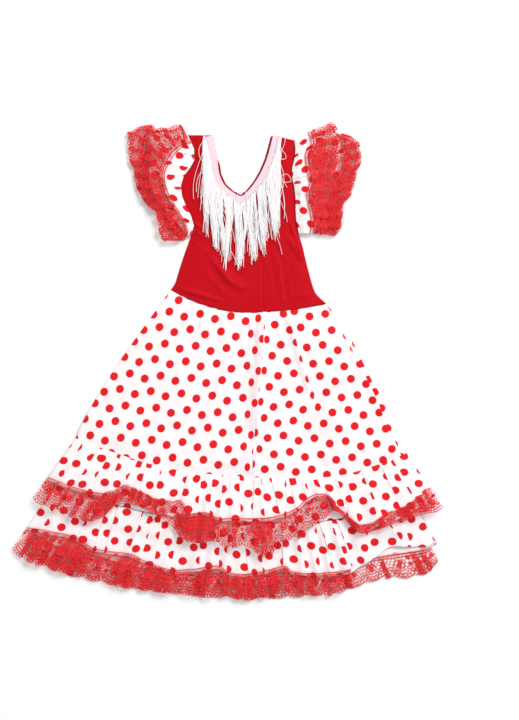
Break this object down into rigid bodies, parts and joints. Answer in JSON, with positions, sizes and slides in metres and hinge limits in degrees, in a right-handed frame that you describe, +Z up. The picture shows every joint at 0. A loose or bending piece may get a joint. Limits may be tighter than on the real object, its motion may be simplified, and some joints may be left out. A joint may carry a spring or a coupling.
{
  "type": "flamenco dress",
  "caption": "Child's flamenco dress laid flat, with frilled sleeves, a fringed V neck and two gathered ruffles with lace at the hem of a dotted skirt.",
  "frame": {"origin": "centre of the dress's outline on the surface that it lies on", "axes": "+Y towards the neck, +X to the right as seen from above, +Z up from the surface, out of the dress's front"},
  "size_m": [0.748, 0.8362, 0.0193],
  "materials": {
    "bodice_red": "matte stretch velvet knit",
    "dotted_cotton": "matte white cotton with red polka dots",
    "lace_red": "matte red lace",
    "fringe_white": "white silky fringe on a pale pink tape"
  },
  "bodies": {
    "root": {"bodice_front_left": "bodice_red", "bodice_front_right": "bodice_red", "bodice_back_left": "bodice_red", "bodice_back_right": "bodice_red", "neck_fringe": "fringe_white", "skirt_front_left": "dotted_cotton", "skirt_front_right": "dotted_cotton", "skirt_back": "dotted_cotton", "upper_ruffle_front": "dotted_cotton", "upper_ruffle_back": "dotted_cotton", "upper_lace_front": "lace_red", "upper_lace_back": "lace_red", "lower_ruffle_front": "dotted_cotton", "lower_ruffle_back": "dotted_cotton", "lower_lace_front": "lace_red", "lower_lace_back": "lace_red", "sleeve_left_top_tier": "dotted_cotton", "sleeve_left_top_lace": "lace_red", "sleeve_left_under_tier": "dotted_cotton", "sleeve_left_under_lace": "lace_red", "sleeve_left_back_top_tier": "dotted_cotton", "sleeve_left_back_top_lace": "lace_red", "sleeve_left_back_under_tier": "dotted_cotton", "sleeve_left_back_under_lace": "lace_red", "sleeve_right_top_tier": "dotted_cotton", "sleeve_right_top_lace": "lace_red", "sleeve_right_under_tier": "dotted_cotton", "sleeve_right_under_lace": "lace_red", "sleeve_right_back_top_tier": "dotted_cotton", "sleeve_right_back_top_lace": "lace_red", "sleeve_right_back_under_tier": "dotted_cotton", "sleeve_right_back_under_lace": "lace_red"}
  },
  "joints": []
}
